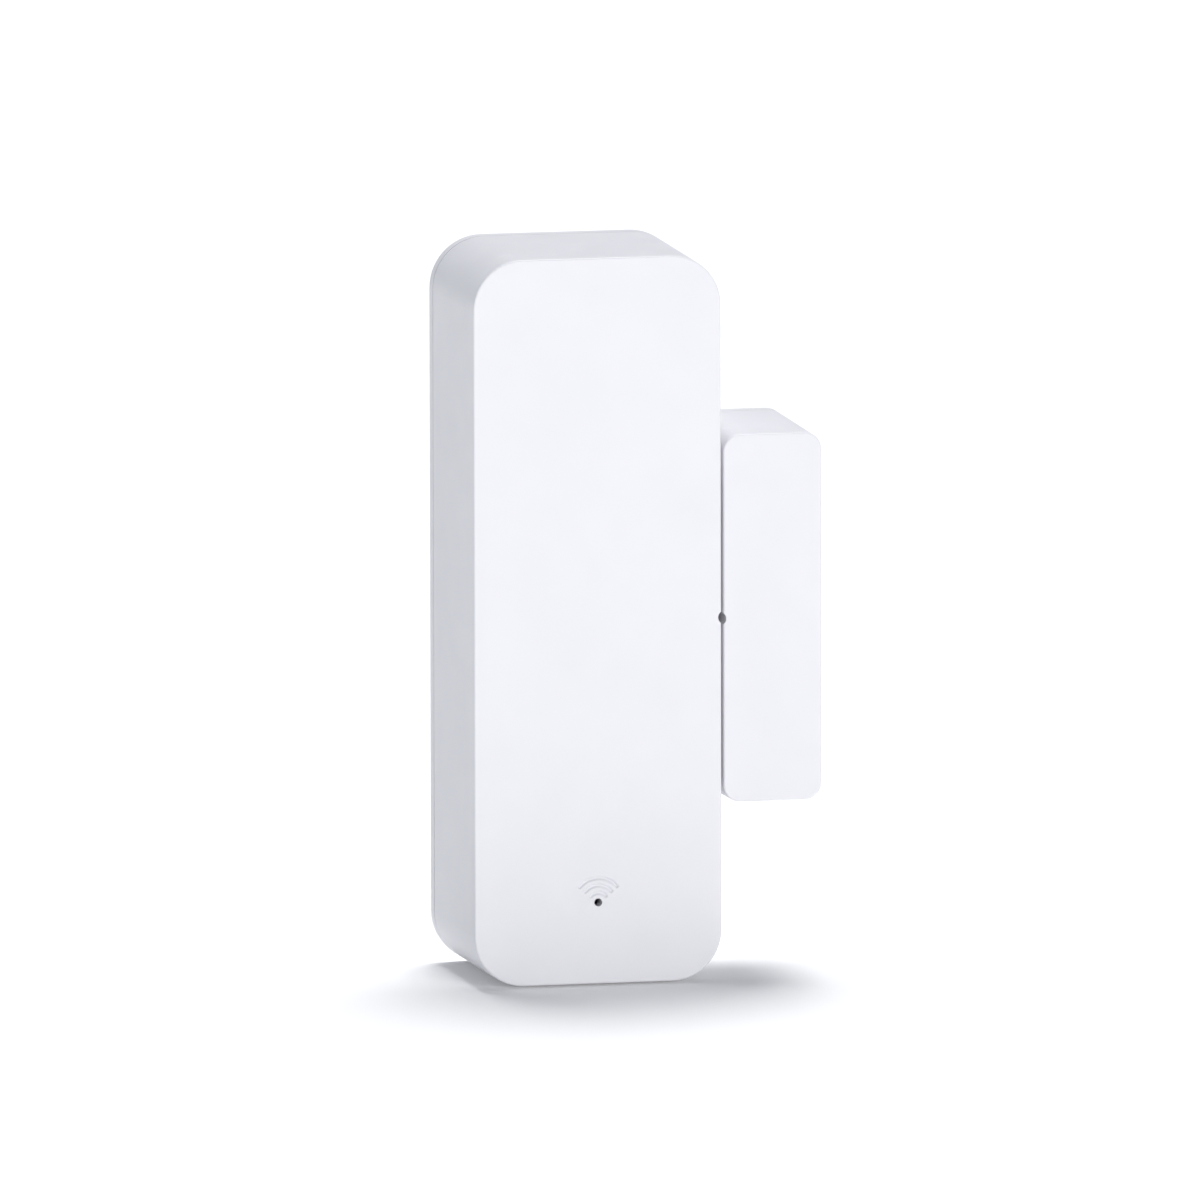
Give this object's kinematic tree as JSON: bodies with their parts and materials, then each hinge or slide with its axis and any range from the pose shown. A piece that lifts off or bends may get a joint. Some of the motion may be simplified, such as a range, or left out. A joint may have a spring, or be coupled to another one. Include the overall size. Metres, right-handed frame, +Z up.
{
  "type": "door contact sensor",
  "caption": "Wireless door or window contact sensor: a tall white battery housing on a stick-on plate, with its slim magnet unit beside it.",
  "frame": {"origin": "centre of the sensor's adhesive face, where it meets the door frame", "axes": "+Z up along the sensor, +X from the sensor towards the magnet unit, +Y into the wall, so that the front faces -Y"},
  "size_m": [0.0359, 0.0201, 0.0726],
  "materials": {
    "white_plastic": "fine moulded texture",
    "foam_tape": "soft closed-cell foam",
    "tray_plastic": "plain moulded",
    "board": "solder-masked laminate",
    "module_board": "solder-masked laminate",
    "shield": "tin plated",
    "reed_glass": "clear",
    "lead_metal": "tin plated",
    "led_resin": "clear resin on white",
    "black_plastic": "plain moulded",
    "button_plastic": "plain moulded",
    "capacitor_metal": "satin",
    "ferrite": "dull",
    "copper": "enamelled wire",
    "chip_ceramic": "plain",
    "cell_jacket": "printed film",
    "cell_seal": "plain",
    "cell_metal": "nickel plated",
    "contact_metal": "nickel plated",
    "screw_metal": "zinc plated",
    "magnet_metal": "nickel plated"
  },
  "bodies": {
    "wall_plate": {"mounting_plate": "white_plastic", "sensor_adhesive_pad": "foam_tape"},
    "sensor_body": {"front_shell": "white_plastic", "battery_tray": "tray_plastic", "circuit_board": "board", "radio_module": "module_board", "radio_shield": "shield", "reed_glass": "reed_glass", "reed_leads": "lead_metal", "status_led": "led_resin", "reset_switch_base": "black_plastic", "reset_switch_metal": "shield", "capacitor_foot": "black_plastic", "capacitor_can": "capacitor_metal", "inductor_block": "ferrite", "inductor_winding": "copper", "regulator_chips": "black_plastic", "chip_components": "chip_ceramic", "battery_left": "cell_jacket", "battery_left_seal": "cell_seal", "battery_left_cap": "cell_metal", "battery_right": "cell_jacket", "battery_right_seal": "cell_seal", "battery_right_cap": "cell_metal", "bridge_contact": "contact_metal", "negative_contact": "contact_metal", "positive_contact": "contact_metal", "left_cell_spring": "contact_metal", "right_cell_spring": "contact_metal", "board_screws": "screw_metal", "tray_screws": "screw_metal"},
    "reset_button": {"reset_button": "button_plastic"},
    "reed_blade": {"reed_contact_blade": "lead_metal"},
    "magnet_base": {"magnet_back_plate": "white_plastic", "magnet_adhesive_pad": "foam_tape"},
    "magnet_cover": {"magnet_shell": "white_plastic", "bar_magnet": "magnet_metal"}
  },
  "joints": [
    {"name": "cover_unclip", "type": "slide", "parent": "wall_plate", "child": "sensor_body", "axis": [0, -1, 0], "range_m": [0, 0.03]},
    {"name": "reset_press", "type": "slide", "parent": "sensor_body", "child": "reset_button", "axis": [0, -1, 0], "range_m": [0, 0.00025], "stiffness_N_per_m": 6400},
    {"name": "reed_blade_flex", "type": "hinge", "parent": "sensor_body", "child": "reed_blade", "pos_m": [0.00908, -0.01621, 0.00515], "axis": [1, 0, 0], "range_deg": [0, 1]},
    {"name": "door_open", "type": "slide", "parent": "wall_plate", "child": "magnet_base", "axis": [1, 0, 0], "range_m": [0, 0.06]},
    {"name": "magnet_cover_unclip", "type": "slide", "parent": "magnet_base", "child": "magnet_cover", "axis": [0, -1, 0], "range_m": [0, 0.022]}
  ],
  "couplings": [
    {"joint": "reed_blade_flex", "follows": "door_open", "rad_per_m": 0.2908}
  ]
}
